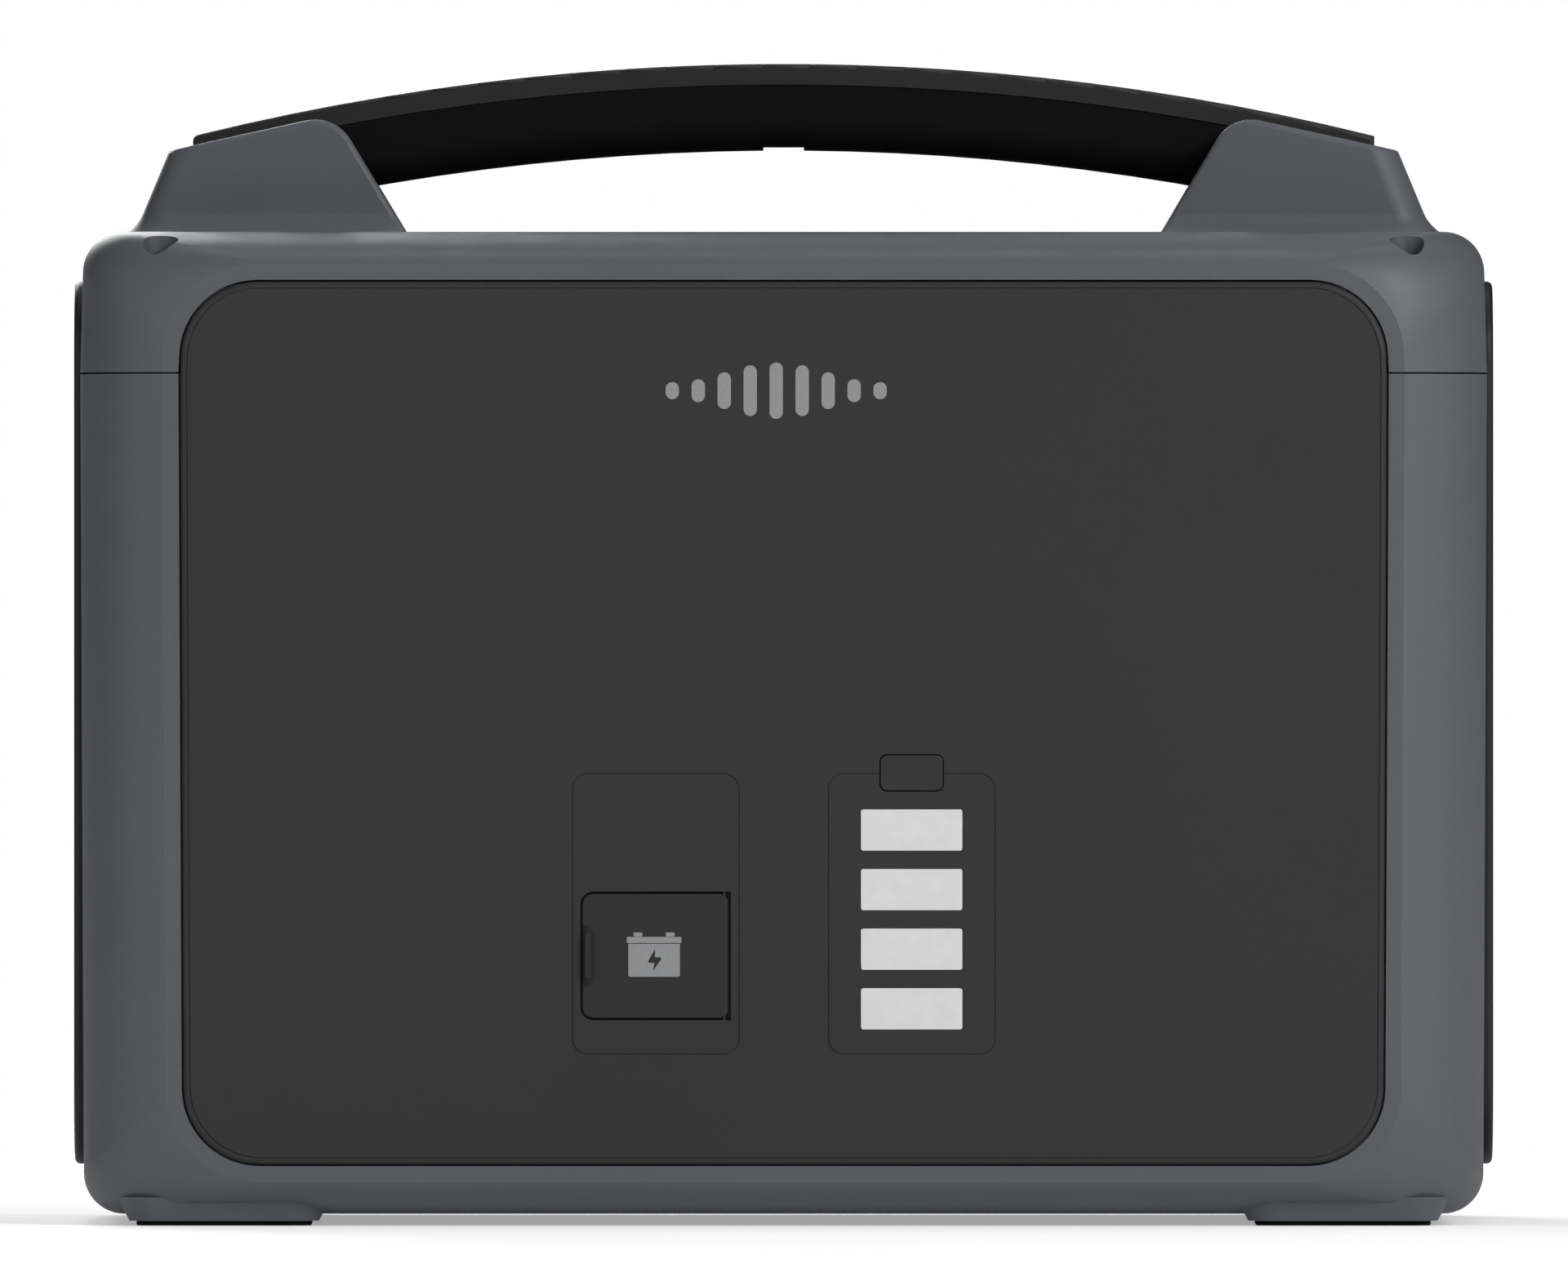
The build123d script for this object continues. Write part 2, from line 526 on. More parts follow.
# ---------------------------------------------------------------- handle
def arch_view(outer_r, inner_r, end_r):
    """Front view of an arched strip between two radii about the handle's axis."""
    with BuildSketch(facing(HANDLE_WIDTH / 2)) as view:
        with Locations((0, HANDLE_TOP - HANDLE_RADIUS)):
            Circle(outer_r)
            Circle(inner_r, mode=Mode.SUBTRACT)
        with Locations((0, HANDLE_TOP + 1)):
            Rectangle(
                HANDLE_SPAN, 3 * HANDLE_THICK, align=(Align.CENTER, Align.MAX), mode=Mode.INTERSECT
            )
        if end_r:
            for end in (view.vertices().group_by(Axis.X)[0], view.vertices().group_by(Axis.X)[-1]):
                fillet(end.sort_by(Axis.Y)[-1], end_r)
    return view.sketch


def handle():
    """The top cap, the grip moulding under it, and the screws up through the horns."""
    inner = HANDLE_RADIUS - HANDLE_THICK
    parting = HANDLE_RADIUS - HANDLE_CAP
    with BuildPart() as cap:
        extrude(arch_view(HANDLE_RADIUS, parting, HANDLE_END_R), amount=HANDLE_WIDTH)
        for face in (cap.faces().sort_by(Axis.Y)[0], cap.faces().sort_by(Axis.Y)[-1]):
            bottom = face.edges().sort_by(Edge.length)[-2:].sort_by(Axis.Z)[0]
            fillet([edge for edge in face.edges() if edge != bottom], CAP_EDGE_R)
    save(cap, "handle_cap")
    with BuildPart() as grip:
        extrude(arch_view(parting, inner, 0), amount=HANDLE_WIDTH)
        with BuildSketch(Plane.YZ) as section:
            with Locations((0, HANDLE_TOP - HANDLE_THICK)):
                Rectangle(HANDLE_WIDTH - 1, HANDLE_THICK, align=(Align.CENTER, Align.MIN))
            fillet(section.vertices().group_by(Axis.Y)[0], GRIP_EDGE_R)
        handle_sweep(section, HANDLE_SPAN / 2 + 1, Mode.INTERSECT)
        with Locations((0, 0, HANDLE_TOP - HANDLE_THICK)):
            Box(NOTCH_WIDTH, 60, 2 * NOTCH_HEIGHT, mode=Mode.SUBTRACT)
        pillars(
            SCREW_R + HINGE_PLAY, handle_screw_spots(), CASE_TOP - WALL, HANDLE_SCREW_TOP + 1,
            Mode.SUBTRACT,
        )
    save(grip, "handle_grip")
    with BuildPart() as screws:
        seat = CASE_TOP - HORN_BURIED - HORN_ROOT
        pillars(SCREW_R, handle_screw_spots(), seat, HANDLE_SCREW_TOP)
        pillars(SCREW_HEAD_R, handle_screw_spots(), seat - SCREW_HEAD_T, seat)
    save(screws, "handle_screws")


def shell_screws():
    """Long screws down the wells that draw the two shells together."""
    with BuildPart() as screws:
        pillars(SCREW_R, WELLS, SEAM_Z - SEAM_GAP / 2 - SHELL_SCREW_BITE, WELL_FLOOR)
        pillars(SCREW_HEAD_R, WELLS, WELL_FLOOR, WELL_FLOOR + SCREW_HEAD_T)
        with BuildSketch(Plane.XY.offset(WELL_FLOOR + SCREW_HEAD_T - 1.6)):
            with Locations(*WELLS):
                RegularPolygon(1.8, 6)
        extrude(amount=2, mode=Mode.SUBTRACT)
    save(screws, "shell_screws")


def feet():
    """Four rubber feet, sunk into their platforms."""
    for row, y in (("front", -FOOT_Y), ("rear", FOOT_Y)):
        for side, x in (("left", -FOOT_X), ("right", FOOT_X)):
            with BuildPart() as foot:
                with BuildSketch():
                    with Locations((x, y)):
                        RectangleRounded(FOOT_LENGTH, FOOT_WIDTH, FOOT_R)
                extrude(amount=PLATFORM_Z + FOOT_SUNK)
                fillet(foot.faces().sort_by(Axis.Z)[0].edges(), 0.5)
            save(foot, f"foot_{row}_{side}")


# ---------------------------------------------------------------- panels
def panel_body():
    """A panel moulding at the front: its slab, its rounded rim and its screw holes."""
    with BuildPart() as panel:
        gap_side, gap_top = WINDOW_SIDE + PANEL_GAP, WINDOW_TOP + PANEL_GAP
        outline_slab(gap_side, gap_top, WINDOW_R - PANEL_GAP, -PANEL_FACE, -LEDGE_Y)
        fillet(panel.faces().sort_by(Axis.Y)[0].edges(), PANEL_EDGE_R)
        rim, line = RIM_LINE, RIM_LINE + GROOVE
        outer = outline(-PANEL_FACE + GROOVE_DEPTH, gap_side + rim, gap_top + rim, WINDOW_R - rim)
        inner = outline(-PANEL_FACE + GROOVE_DEPTH, gap_side + line, gap_top + line, WINDOW_R - line)
        extrude(outer - inner, amount=1, mode=Mode.SUBTRACT)
        panel_screw_holes(PANEL_SCREW_R + HINGE_PLAY, -LEDGE_Y - PANEL_SCREW_BITE - 0.3, -LEDGE_Y + 1)
    return panel.part


def key_hole(width, height, radius, place):
    """The hole in a front panel that a push key slides in."""
    blocks(
        width + 2 * KEY_GAP, height + 2 * KEY_GAP, radius + KEY_GAP, [place],
        -PANEL_FACE - 1, -LEDGE_Y + 1, Mode.SUBTRACT,
    )


def key(name, width, height, radius, place, rear=False):
    """A push key; its rim stays behind the panel and its stem stops short of the switch."""
    with BuildPart() as front:
        rim_y = -LEDGE_Y + KEY_GAP + 0.05
        blocks(width, height, radius, [place], -PANEL_FACE - KEY_PROUD, rim_y + 1)
        fillet(front.faces().sort_by(Axis.Y)[0].edges(), 0.4)
        rim = 2 * KEY_RIM
        blocks(width + rim, height + rim, radius + KEY_RIM, [place], rim_y, rim_y + 1.2)
        rods(2, [place], rim_y, -SWITCH_TIP_Y - KEY_TRAVEL - KEY_GAP)
    with BuildPart() as button:
        add(front.part.mirror(Plane.XZ) if rear else front.part)
    save(button, name)


def switches(name, places, rear=False):
    """Tactile switches on the board behind their keys."""
    with BuildPart() as front:
        blocks(6, 6, 0.4, places, -BOARD_Y - 3.5, -BOARD_Y)
        rods(1.6, places, -SWITCH_TIP_Y, -BOARD_Y)
    with BuildPart() as switch:
        add(front.part.mirror(Plane.XZ) if rear else front.part)
    save(switch, name)


def front_panel():
    """Front panel: flap opening, gauge windows, key hole, outline grooves and board posts."""
    port_x, gauge_x = -GROUP_X, GROUP_X
    with BuildPart() as panel:
        add(panel_body())
        for x in (port_x, gauge_x):
            with BuildSketch(facing(-PANEL_FACE + GROOVE_DEPTH)) as field:
                with Locations((x, GROUP_Z)):
                    RectangleRounded(GROUP_WIDTH, GROUP_HEIGHT, GROUP_R)
                    RectangleRounded(
                        GROUP_WIDTH - 2 * GROOVE, GROUP_HEIGHT - 2 * GROOVE, GROUP_R - GROOVE,
                        mode=Mode.SUBTRACT,
                    )
            extrude(field.sketch, amount=1, mode=Mode.SUBTRACT)
        with BuildSketch(facing(-LEDGE_Y + 1)) as opening:
            with Locations((port_x, FLAP_Z)):
                Rectangle(FLAP_WIDTH + 2 * FLAP_GAP, FLAP_HEIGHT + 2 * FLAP_GAP)
            ends = opening.vertices().group_by(Axis.X)
            fillet(ends[0], FLAP_R + FLAP_GAP)
            fillet(ends[-1], SWING_CORNER_R)
        extrude(opening.sketch, amount=PANEL_FACE - LEDGE_Y + 2, mode=Mode.SUBTRACT)
        pillars(HINGE_PIN_R, [(HINGE_X, HINGE_Y)], FLAP_Z - PIN_HALF, FLAP_Z + PIN_HALF, Mode.SUBTRACT)
        blocks(BAR_WIDTH + FIT, BAR_HEIGHT + FIT, BAR_R, BARS, -PANEL_FACE - 1, -LEDGE_Y + 1, Mode.SUBTRACT)
        key_hole(KEY_WIDTH, KEY_HEIGHT, KEY_R, (gauge_x, LEVEL_KEY_Z))
        rods(2.5, BOARD_POSTS, -LEDGE_Y - 1, -BOARD_Y)
        rods(0.9, BOARD_POSTS, -LEDGE_Y + 1, -BOARD_Y + BOARD_T + 0.4)
    save(panel, "front_panel")


def battery_port():
    """The hinged flap with its pull, its pin, and the port housing with its contact blades."""
    left = -GROUP_X - FLAP_WIDTH / 2
    with BuildPart() as flap:
        blocks(FLAP_WIDTH, FLAP_HEIGHT, FLAP_R, [(-GROUP_X, FLAP_Z)], -PANEL_FACE, -PANEL_FACE + FLAP_T)
        fillet(flap.faces().sort_by(Axis.Y)[0].edges(), FLAP_EDGE_R)
        with BuildPart(mode=Mode.INTERSECT):
            with BuildSketch(Plane.XY.offset(FLAP_Z - FLAP_HEIGHT)):
                with Locations(((left + HINGE_X) / 2, HINGE_Y)):
                    Rectangle(HINGE_X - left, FLAP_T)
                with Locations((HINGE_X, HINGE_Y)):
                    Circle(FLAP_T / 2)
            extrude(amount=2 * FLAP_HEIGHT)
        pull_x = left + PULL_WIDTH / 2
        with BuildSketch(facing(-PANEL_FACE + FLAP_EDGE_R)) as base:
            with Locations((pull_x, FLAP_Z)):
                RectangleRounded(PULL_WIDTH, PULL_HEIGHT, PULL_WIDTH / 2 - 0.01)
        with BuildSketch(facing(-PANEL_FACE - PULL_RISE)) as crest:
            with Locations((pull_x, FLAP_Z)):
                RectangleRounded(PULL_WIDTH / 2, PULL_CREST, PULL_WIDTH / 4 - 0.01)
        loft([base.sketch.face(), crest.sketch.face()])
        pillars(
            HINGE_PIN_R + HINGE_PLAY, [(HINGE_X, HINGE_Y)], FLAP_Z - FLAP_HEIGHT, FLAP_Z + FLAP_HEIGHT,
            Mode.SUBTRACT,
        )
    save(flap, "port_flap")
    with BuildPart() as pin:
        pillars(HINGE_PIN_R, [(HINGE_X, HINGE_Y)], FLAP_Z - PIN_HALF, FLAP_Z + PIN_HALF)
    save(pin, "flap_hinge_pin")
    centre = [(-GROUP_X, FLAP_Z)]
    back = -LEDGE_Y + PORT_DEPTH
    with BuildPart() as port:
        blocks(FLAP_WIDTH + 8, FLAP_HEIGHT + 8, FLAP_R + 3, centre, -LEDGE_Y, -LEDGE_Y + 2)
        outer = 2 * PORT_WALL
        rim = -PANEL_FACE + FLAP_T + SEAT_CLEAR
        blocks(PORT_WIDTH + outer, PORT_HEIGHT + outer, 3.5, centre, rim, back + PORT_WALL)
        blocks(PORT_WIDTH, PORT_HEIGHT, 1.5, centre, rim - 1, back, Mode.SUBTRACT)
        blocks(BLADE_T, BLADE_HEIGHT, BLADE_T / 3, BLADES, back - 1, back + PORT_WALL + 1, Mode.SUBTRACT)
    save(port, "battery_port")
    with BuildPart() as blades:
        blocks(BLADE_T, BLADE_HEIGHT, BLADE_T / 3, BLADES, back - 7, back + PORT_WALL + 5)
    save(blades, "battery_port_contacts")


def charge_gauge():
    """Four light bars, the board that lights them, and the key that wakes it."""
    for count, place in enumerate(BARS, 1):
        with BuildPart() as bar:
            blocks(BAR_WIDTH, BAR_HEIGHT, BAR_R, [place], -PANEL_FACE - 0.2, -LEDGE_Y + 1)
            blocks(BAR_WIDTH + 2.4, BAR_HEIGHT + 2.4, BAR_R, [place], -LEDGE_Y, -BOARD_Y - 2.5)
        save(bar, f"level_bar_{count}")
    with BuildPart() as board:
        span = LEVEL_KEY_Z - BARS[-1][1]
        middle = (LEVEL_KEY_Z + BARS[-1][1]) / 2
        blocks(BAR_WIDTH + 16, span + 22, 2, [(GROUP_X, middle)], -BOARD_Y, -BOARD_Y + BOARD_T)
        rods(1, BOARD_POSTS, -BOARD_Y - 1, -BOARD_Y + BOARD_T + 1, Mode.SUBTRACT)
    save(board, "level_board")
    switches("level_switch", [(GROUP_X, LEVEL_KEY_Z)])
    key("level_button", KEY_WIDTH, KEY_HEIGHT, KEY_R, (GROUP_X, LEVEL_KEY_Z))


def side_panels():
    """Side panels with rows of cooling slots over the fans."""
    for name, sign in (("side_panel_left", -1), ("side_panel_right", 1)):
        with BuildPart() as right:
            with BuildSketch(side_plane(SIDE_PANEL_SEAT)):
                with Locations((0, WINDOW_MID_Z)):
                    RectangleRounded(SIDE_PANEL_LENGTH, WINDOW_HIGH - WINDOW_LOW, WINDOW_R)
            extrude(amount=SIDE_PANEL_FACE - SIDE_PANEL_SEAT)
            fillet(right.faces().sort_by(Axis.X)[-1].edges(), SIDE_PANEL_EDGE_R)
            with BuildSketch(side_plane(SIDE_PANEL_SEAT - 1)):
                with Locations((0, FAN_Z)):
                    with GridLocations(SLOT_LENGTH + 6, SLOT_PITCH, 2, SLOT_ROWS):
                        SlotOverall(SLOT_LENGTH, SLOT_WIDTH)
            extrude(amount=10, mode=Mode.SUBTRACT)
            with BuildSketch(side_plane(SIDE_PANEL_SEAT)):
                with Locations(*side_peg_spots()):
                    Circle(PEG_R)
            extrude(amount=-PEG_LENGTH)
            with BuildSketch(side_plane(SIDE_PANEL_SEAT)):
                with Locations(*FAN_SCREWS):
                    Circle(SMALL_SCREW_R + HINGE_PLAY)
            extrude(amount=2.6, mode=Mode.SUBTRACT)
        with BuildPart() as panel:
            add(right.part if sign > 0 else right.part.mirror(Plane.YZ))
        save(panel, name)


# ---------------------------------------------------------------- rear outputs
def rear_cut(width, height, radius, places):
    """Openings through the rear panel."""
    blocks(width, height, radius, places, LEDGE_Y - 1, PANEL_FACE + 1, Mode.SUBTRACT)


def rear_panel():
    """Rear panel: openings for the outlets, the sockets, the display and the keys."""
    with BuildPart() as panel:
        add(panel_body().mirror(Plane.XZ))
        rods(OUTLET_BODY_R + FIT, OUTLETS, LEDGE_Y - 1, PANEL_FACE + 1, Mode.SUBTRACT)
        rods(CAR_BODY_R + FIT, [(CAR_X, OUTLET_Z)], LEDGE_Y - 1, PANEL_FACE + 1, Mode.SUBTRACT)
        rear_cut(USB_WIDTH - 6 + FIT, USB_HEIGHT - 6 + FIT, 2, [(USB_X, OUTLET_Z)])
        inlet_wall = 2 * INLET_WALL + FIT
        rear_cut(INLET_WIDTH + inlet_wall, INLET_HEIGHT + inlet_wall, 3, [(INLET_X, OUTLET_Z)])
        rear_cut(DISPLAY_WIDTH - 6, DISPLAY_HEIGHT - 6, 3, [(0, DISPLAY_Z)])
        seat = PANEL_FACE - WINDOW_T
        blocks(
            DISPLAY_WIDTH + FIT, DISPLAY_HEIGHT + FIT, 5, [(0, DISPLAY_Z)],
            seat, PANEL_FACE + 1, Mode.SUBTRACT,
        )
        rods(POWER_KEY_R + KEY_GAP, [(0, KEYS_Z)], LEDGE_Y - 1, PANEL_FACE + 1, Mode.SUBTRACT)
        rear_cut(KEY_WIDTH + 2 * KEY_GAP, KEY_HEIGHT + 2 * KEY_GAP, KEY_R + KEY_GAP, SIDE_KEYS)
        rods(2.5, CONTROL_POSTS, BOARD_Y, LEDGE_Y + 1)
        rods(0.9, CONTROL_POSTS, BOARD_Y - BOARD_T - 0.4, LEDGE_Y)
    save(panel, "rear_panel")


def outlets():
    """Round-well mains outlets with two pin holes and an earth clip above and below."""
    for count, (x, z) in enumerate(OUTLETS, 1):
        floor = OUTER_Y - OUTLET_WELL_DEPTH
        with BuildPart() as outlet:
            blocks(OUTLET_PLATE, OUTLET_PLATE, 8, [(x, z)], PANEL_FACE, OUTER_Y)
            fillet(outlet.faces().sort_by(Axis.Y)[-1].edges(), 1)
            rods(OUTLET_BODY_R, [(x, z)], floor - 8, PANEL_FACE + 1)
            rods(OUTLET_WELL_R, [(x, z)], floor, OUTER_Y + 1, Mode.SUBTRACT)
            pins = [(x - PIN_SPACING / 2, z), (x + PIN_SPACING / 2, z)]
            rods(PIN_HOLE_R, pins, floor - 6, floor + 1, Mode.SUBTRACT)
        save(outlet, f"outlet_{count}")
    with BuildPart() as clips:
        ends = [(x, z + side * (OUTLET_WELL_R - 1)) for x, z in OUTLETS for side in (-1, 1)]
        blocks(4, 1.6, 0.5, ends, floor, OUTER_Y - 3)
    save(clips, "outlet_earth_clips")


def car_socket():
    """Vehicle accessory socket: a plain round bore with a raised bezel."""
    with BuildPart() as socket:
        rods(CAR_BODY_R + 5, [(CAR_X, OUTLET_Z)], PANEL_FACE, OUTER_Y)
        fillet(socket.faces().sort_by(Axis.Y)[-1].edges(), 1)
        rods(CAR_BODY_R, [(CAR_X, OUTLET_Z)], OUTER_Y - CAR_DEPTH - 3, PANEL_FACE + 1)
        rods(CAR_BORE_R, [(CAR_X, OUTLET_Z)], OUTER_Y - CAR_DEPTH, OUTER_Y + 1, Mode.SUBTRACT)
    save(socket, "car_socket")


def usb_module():
    """Two wide and two narrow USB sockets in one moulding, with their contact tongues."""
    wide = [(USB_X - 10, OUTLET_Z + 9), (USB_X + 10, OUTLET_Z + 9)]
    narrow = [(USB_X - 10, OUTLET_Z - 9), (USB_X + 10, OUTLET_Z - 9)]
    with BuildPart() as module:
        blocks(USB_WIDTH, USB_HEIGHT, 5, [(USB_X, OUTLET_Z)], PANEL_FACE, OUTER_Y - 1)
        fillet(module.faces().sort_by(Axis.Y)[-1].edges(), 0.6)
        blocks(USB_WIDTH - 6, USB_HEIGHT - 6, 2, [(USB_X, OUTLET_Z)], OUTER_Y - 20, PANEL_FACE + 1)
        blocks(13.1, 5.7, 0.4, wide, OUTER_Y - 13, OUTER_Y, Mode.SUBTRACT)
        blocks(9, 3.3, 1.6, narrow, OUTER_Y - 8, OUTER_Y, Mode.SUBTRACT)
    save(module, "usb_module")
    with BuildPart() as tongues:
        blocks(11, 1.8, 0.3, [(x, z + 1) for x, z in wide], OUTER_Y - 13, OUTER_Y - 3)
        blocks(6.7, 0.7, 0.2, narrow, OUTER_Y - 8, OUTER_Y - 3)
    save(tongues, "usb_tongues")


def mains_inlet():
    """Charging inlet with three blades."""
    place = (INLET_X, OUTLET_Z)
    floor = OUTER_Y - INLET_DEPTH
    with BuildPart() as inlet:
        blocks(INLET_WIDTH + 14, INLET_HEIGHT + 10, 5, [place], PANEL_FACE, OUTER_Y)
        fillet(inlet.faces().sort_by(Axis.Y)[-1].edges(), 1)
        wall = 2 * INLET_WALL
        blocks(INLET_WIDTH + wall, INLET_HEIGHT + wall, 3, [place], floor - 3, PANEL_FACE + 1)
        with BuildSketch(facing(OUTER_Y + 1)) as recess:
            with Locations(place):
                Rectangle(INLET_WIDTH, INLET_HEIGHT)
            chamfer(recess.vertices().group_by(Axis.Y)[0], INLET_CHAMFER)
        extrude(amount=INLET_DEPTH + 1, mode=Mode.SUBTRACT)
    save(inlet, "mains_inlet")
    with BuildPart() as blades:
        low, high = OUTLET_Z - 3, OUTLET_Z + 1
        spots = [(INLET_X - 7, low), (INLET_X + 7, low), (INLET_X, high)]
        blocks(2, 4, 0.4, spots, floor, OUTER_Y - 4)
    save(blades, "mains_inlet_blades")


def rear_controls():
    """Display, its window, the three keys and the board behind them."""
    with BuildPart() as window:
        seat = PANEL_FACE - WINDOW_T
        blocks(DISPLAY_WIDTH, DISPLAY_HEIGHT, 5, [(0, DISPLAY_Z)], seat, PANEL_FACE + 0.3)
    save(window, "display_window")
    with BuildPart() as display:
        blocks(DISPLAY_WIDTH - 8, DISPLAY_HEIGHT - 8, 2, [(0, DISPLAY_Z)], LEDGE_Y - 4, seat - 0.2)
        blocks(DISPLAY_WIDTH + 4, DISPLAY_HEIGHT + 4, 2, [(0, DISPLAY_Z)], LEDGE_Y - 3, LEDGE_Y)
    save(display, "display_module")
    with BuildPart() as board:
        width = 2 * SIDE_KEY_X + 40
        blocks(width, 22, 2, [(0, KEYS_Z)], BOARD_Y - BOARD_T, BOARD_Y)
        rods(1, CONTROL_POSTS, BOARD_Y - BOARD_T - 1, BOARD_Y + 1, Mode.SUBTRACT)
    save(board, "control_board")
    switches("control_switches", [(0, KEYS_Z), *SIDE_KEYS], rear=True)
    key("power_button", 2 * POWER_KEY_R, 2 * POWER_KEY_R, POWER_KEY_R - 0.01, (0, KEYS_Z), rear=True)
    for name, place in zip(("dc_button", "ac_button"), SIDE_KEYS):
        key(name, KEY_WIDTH, KEY_HEIGHT, KEY_R, place, rear=True)


def panel_screws():
    """Small screws from inside, through the ledges and into both panels."""
    with BuildPart() as screws:
        y = LEDGE_Y - LEDGE_T
        rods(PANEL_SCREW_R, panel_screw_spots(), y, LEDGE_Y + PANEL_SCREW_BITE)
        rods(2, panel_screw_spots(), y - 1.4, y)
        mirror(about=Plane.XZ)
    save(screws, "panel_screws")


# ---------------------------------------------------------------- battery pack
def pack():
    """Two banks of cells in moulded holders, with welded strips, on rails and under pads."""
    cells = [(CELL_PITCH * (c - (CELL_COLUMNS - 1) / 2), CELL_FIRST_Z + CELL_PITCH * r)
             for c in range(CELL_COLUMNS) for r in range(CELL_ROWS)]
    middle_z = (PACK_BASE_Z + PACK_TOP_Z) / 2
    near, far = BANK_GAP / 2, BANK_GAP / 2 + CELL_LENGTH
    for name, sign in (("front", -1), ("rear", 1)):
        with BuildPart() as bank:
            rods(CELL_R, cells, *sorted((sign * near, sign * far)))
            fillet(bank.edges().filter_by(GeomType.CIRCLE), 1)
        save(bank, f"cells_{name}")
    with BuildPart() as holders:
        for start in (near, far - HOLDER_T):
            size = (PACK_WIDTH, PACK_TOP_Z - PACK_BASE_Z)
            blocks(*size, 3, [(0, middle_z)], start, start + HOLDER_T)
            rods(CELL_R + 0.05, cells, start - 1, start + HOLDER_T + 1, Mode.SUBTRACT)
        mirror(about=Plane.XZ)
    save(holders, "cell_holders")
    with BuildPart() as strips:
        height = (CELL_ROWS - 1) * CELL_PITCH + 20
        strip_z = CELL_FIRST_Z + CELL_PITCH * (CELL_ROWS - 1) / 2
        pairs = CELL_COLUMNS // 2
        middles = [(2 * CELL_PITCH * (c - (pairs - 1) / 2), strip_z) for c in range(pairs)]
        for start in (near - STRIP_T, far):
            blocks(CELL_PITCH + 20, height, 3, middles, start, start + STRIP_T)
        mirror(about=Plane.XZ)
    save(strips, "cell_strips")
    with BuildPart() as pads:
        with Locations((0, BANK_Y, PACK_TOP_Z), (0, -BANK_Y, PACK_TOP_Z)):
            Box(
                PACK_WIDTH - 20, CELL_LENGTH - 4, PLATE_Z - PACK_TOP_Z,
                align=(Align.CENTER, Align.CENTER, Align.MIN),
            )
    save(pads, "pack_pads")


# ---------------------------------------------------------------- power electronics
def electronics():
    """Chassis plate over the pack, with the inverter and the battery management board."""
    plate_top = PLATE_Z + PLATE_T
    board_z = plate_top + STANDOFF
    with BuildPart() as plate:
        with BuildSketch(Plane.XY.offset(PLATE_Z)):
            with Locations((0, PLATE_Y)):
                RectangleRounded(2 * POST_X + 9, PLATE_DEPTH, 6)
            with Locations(*PLATE_POSTS):
                Circle(SMALL_SCREW_R + FIT, mode=Mode.SUBTRACT)
        extrude(amount=PLATE_T)
        pillars(3, STANDOFFS, plate_top, board_z)
    save(plate, "chassis_plate")
    with BuildPart() as screws:
        pillars(SMALL_SCREW_R, PLATE_POSTS, PLATE_Z - 12, plate_top)
        pillars(3, PLATE_POSTS, plate_top, plate_top + 2)
    save(screws, "plate_screws")
    top = board_z + BOARD_T
    with BuildPart() as board:
        with BuildSketch(Plane.XY.offset(board_z)):
            with Locations((INVERTER_X, PLATE_Y)):
                RectangleRounded(INVERTER_WIDTH, PLATE_DEPTH - 20, 3)
        extrude(amount=BOARD_T)
    save(board, "inverter_board")
    with BuildPart() as bms:
        with BuildSketch(Plane.XY.offset(board_z)):
            with Locations((BMS_X, PLATE_Y)):
                RectangleRounded(BMS_WIDTH, PLATE_DEPTH - 20, 3)
        extrude(amount=BOARD_T)
    save(bms, "bms_board")
    with BuildPart() as sinks:
        for x in (INVERTER_X - 55, INVERTER_X + 55):
            with Locations((x, PLATE_Y, top)):
                Box(26, SINK_LENGTH, 5, align=(Align.CENTER, Align.CENTER, Align.MIN))
                with GridLocations(SINK_PITCH, 1, 6, 1):
                    Box(1.6, SINK_LENGTH, SINK_HEIGHT, align=(Align.CENTER, Align.CENTER, Align.MIN))
    save(sinks, "inverter_heatsinks")
    with BuildPart() as core:
        with Locations((INVERTER_X, PLATE_Y + 30, top)):
            Box(44, 40, CORE_HEIGHT, align=(Align.CENTER, Align.CENTER, Align.MIN))
        for side in (-1, 1):
            with Locations((INVERTER_X + side * 13.5, PLATE_Y + 30, top + 8)):
                Box(
                    9, 40, CORE_HEIGHT - 16,
                    align=(Align.CENTER, Align.CENTER, Align.MIN), mode=Mode.SUBTRACT,
                )
    save(core, "transformer_core")
    with BuildPart() as winding:
        with Locations((INVERTER_X, PLATE_Y + 30, top + 9)):
            Box(34, 56, CORE_HEIGHT - 18, align=(Align.CENTER, Align.CENTER, Align.MIN))
            fillet(winding.edges().filter_by(Axis.Z), 8)
            Box(
                18.4, 40.4, CORE_HEIGHT,
                align=(Align.CENTER, Align.CENTER, Align.MIN), mode=Mode.SUBTRACT,
            )
    save(winding, "transformer_winding")
    with BuildPart() as capacitors:
        spots = [(INVERTER_X + 22 * (c - 1), PLATE_Y - 55 + 22 * r) for c in range(3) for r in range(2)]
        pillars(9, spots, top, top + 32)
        fillet(capacitors.faces().group_by(Axis.Z)[-1].edges(), 0.8)
    save(capacitors, "inverter_capacitors")
    with BuildPart() as leads:
        for row in (-1, 1):
            start = (BMS_X + BMS_WIDTH / 2 - 8, PLATE_Y + row * 12, top)
            end = (INVERTER_X - INVERTER_WIDTH / 2 + 10, PLATE_Y + row * 12, top)
            rise = top + 16
            with BuildLine() as route:
                FilletPolyline(start, (start[0], start[1], rise), (end[0], end[1], rise), end, radius=7)
            with BuildSketch(Plane(origin=start, z_dir=(0, 0, 1))):
                Circle(LEAD_R)
            sweep(path=route.line)
    save(leads, "battery_leads")


# ---------------------------------------------------------------- fans
def fan_disc(radius, x, length, mode=Mode.ADD):
    """A round bar on a fan's spin axis."""
    with BuildSketch(side_plane(x)) as face:
        with Locations((0, FAN_Z)):
            Circle(radius)
    extrude(face.sketch, amount=length, mode=mode)


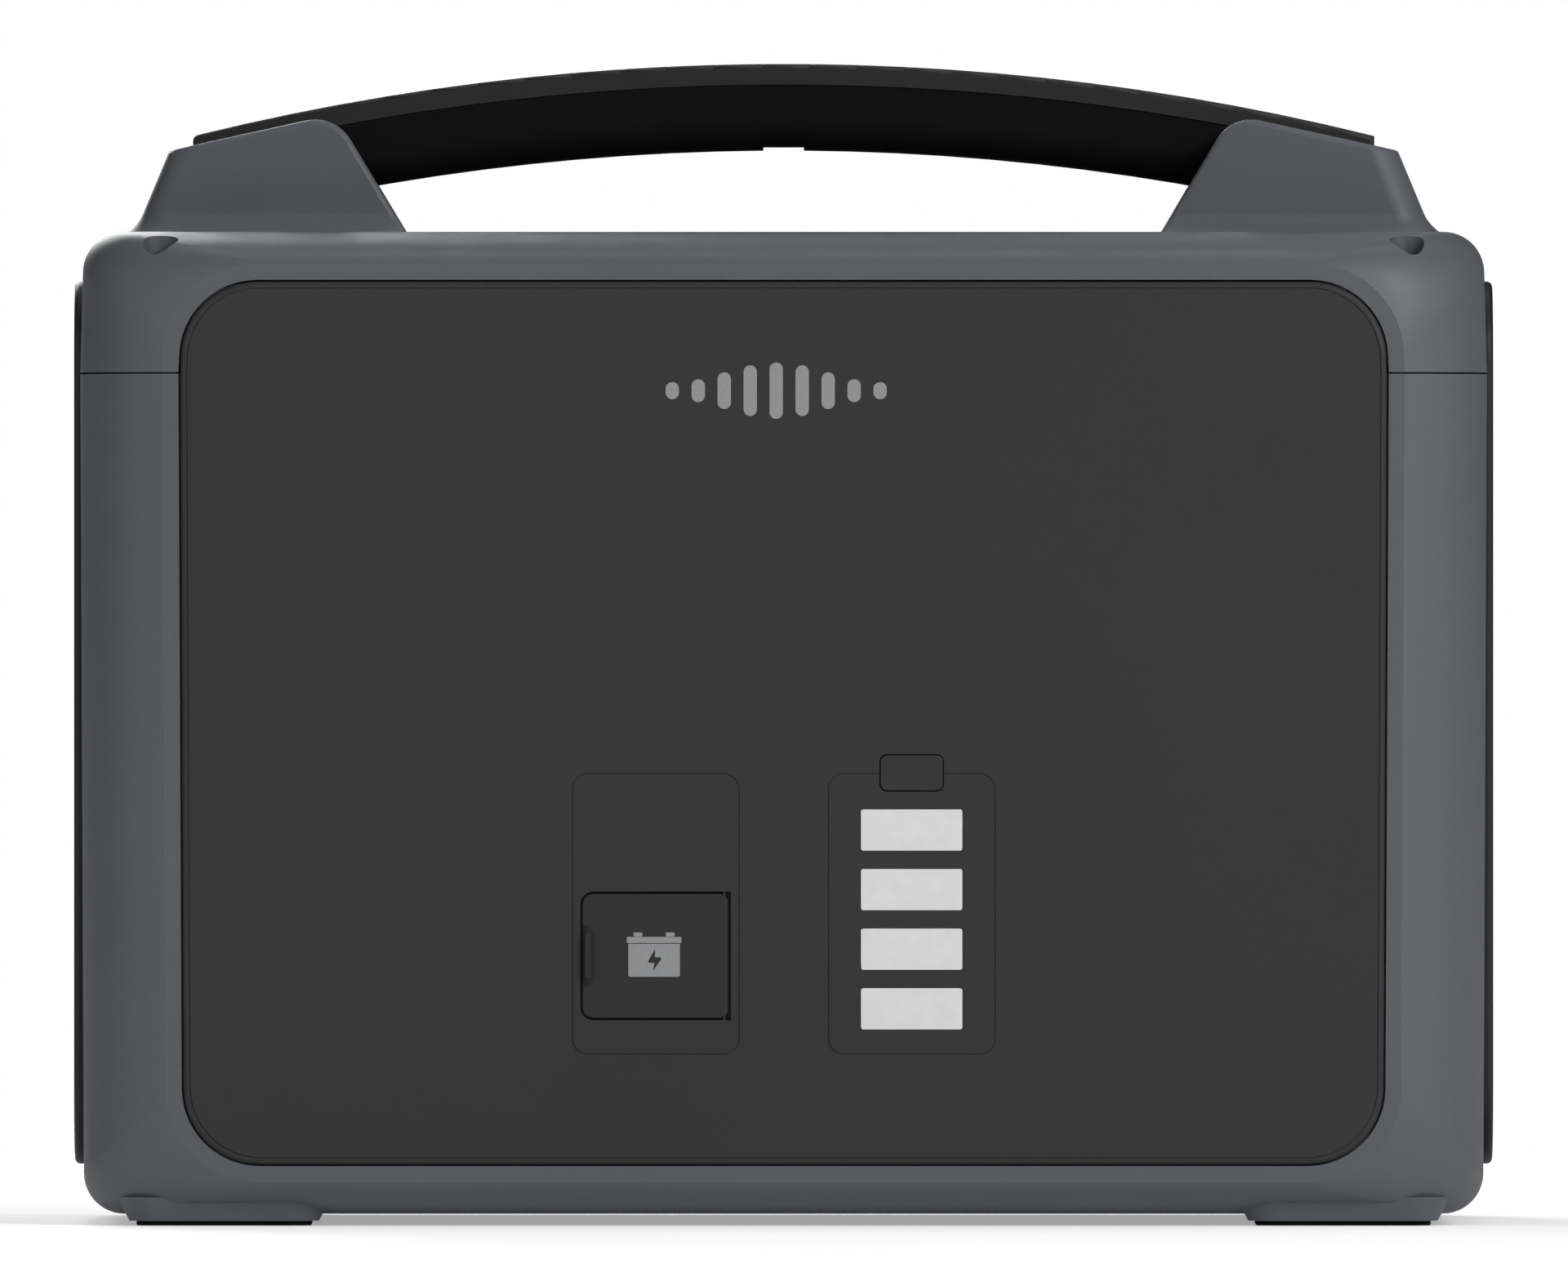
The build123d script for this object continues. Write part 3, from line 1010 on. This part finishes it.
def fan_screw_bars(radius, x, length, mode=Mode.ADD):
    """Round bars at a fan's four corner holes."""
    with BuildSketch(side_plane(x)) as face:
        with Locations(*FAN_SCREWS):
            Circle(radius)
    extrude(face.sketch, amount=length, mode=mode)


def fans():
    """Side fans: frames with a hub and three struts, and a bladed rotor on a pin in each."""
    inner = SIDE_PANEL_SEAT - FAN_T
    rotor_x = inner + 4
    with BuildPart() as frames:
        with BuildSketch(side_plane(inner)):
            with Locations((0, FAN_Z)):
                RectangleRounded(FAN_SIZE, FAN_SIZE, 4)
        extrude(amount=FAN_T)
        fan_disc(FAN_BORE_R, inner - 1, FAN_T + 2, Mode.SUBTRACT)
        fan_disc(HUB_R, inner, 3)
        with BuildSketch(side_plane(inner)):
            with Locations((0, FAN_Z)):
                with PolarLocations(HUB_R + 11, 3, 30):
                    Rectangle(26, 4)
        extrude(amount=3)
        fan_screw_bars(SMALL_SCREW_R + FIT, inner - 1, FAN_T + 2, Mode.SUBTRACT)
        fan_disc(SHAFT_R + HINGE_PLAY, inner - 1, 10, Mode.SUBTRACT)
        mirror(about=Plane.YZ)
    save(frames, "fan_frames")
    with BuildPart() as right:
        fan_disc(HUB_R, rotor_x, 12)
        fillet(right.faces().sort_by(Axis.X)[-1].edges(), 2)
        blade = Box(1.6, ROTOR_R - HUB_R + 2, 17, mode=Mode.PRIVATE)
        blade = Pos(inner + FAN_T / 2 + 2, (ROTOR_R + HUB_R) / 2 - 1, FAN_Z) * Rot(0, 52, 0) * blade
        hub_line = Axis((0, 0, FAN_Z), (1, 0, 0))
        for step in range(FAN_BLADES):
            add(blade.rotate(hub_line, 360 * step / FAN_BLADES))
        fan_disc(ROTOR_R, inner, FAN_T, Mode.INTERSECT)
        fan_disc(SHAFT_R, inner + 0.5, 5)
    save(right, "fan_rotor_right")
    with BuildPart() as left:
        add(right.part.mirror(Plane.YZ))
    save(left, "fan_rotor_left")
    with BuildPart() as screws:
        fan_screw_bars(SMALL_SCREW_R, inner, FAN_T + 2.5)
        fan_screw_bars(2.8, inner - 2, 2)
        mirror(about=Plane.YZ)
    save(screws, "fan_screws")


def main():
    os.makedirs("parts", exist_ok=True)
    blank = case_blank()
    lower_shell(blank)
    upper_shell(blank)
    handle()
    shell_screws()
    feet()
    front_panel()
    battery_port()
    charge_gauge()
    side_panels()
    rear_panel()
    outlets()
    car_socket()
    usb_module()
    mains_inlet()
    rear_controls()
    panel_screws()
    pack()
    electronics()
    fans()


main()
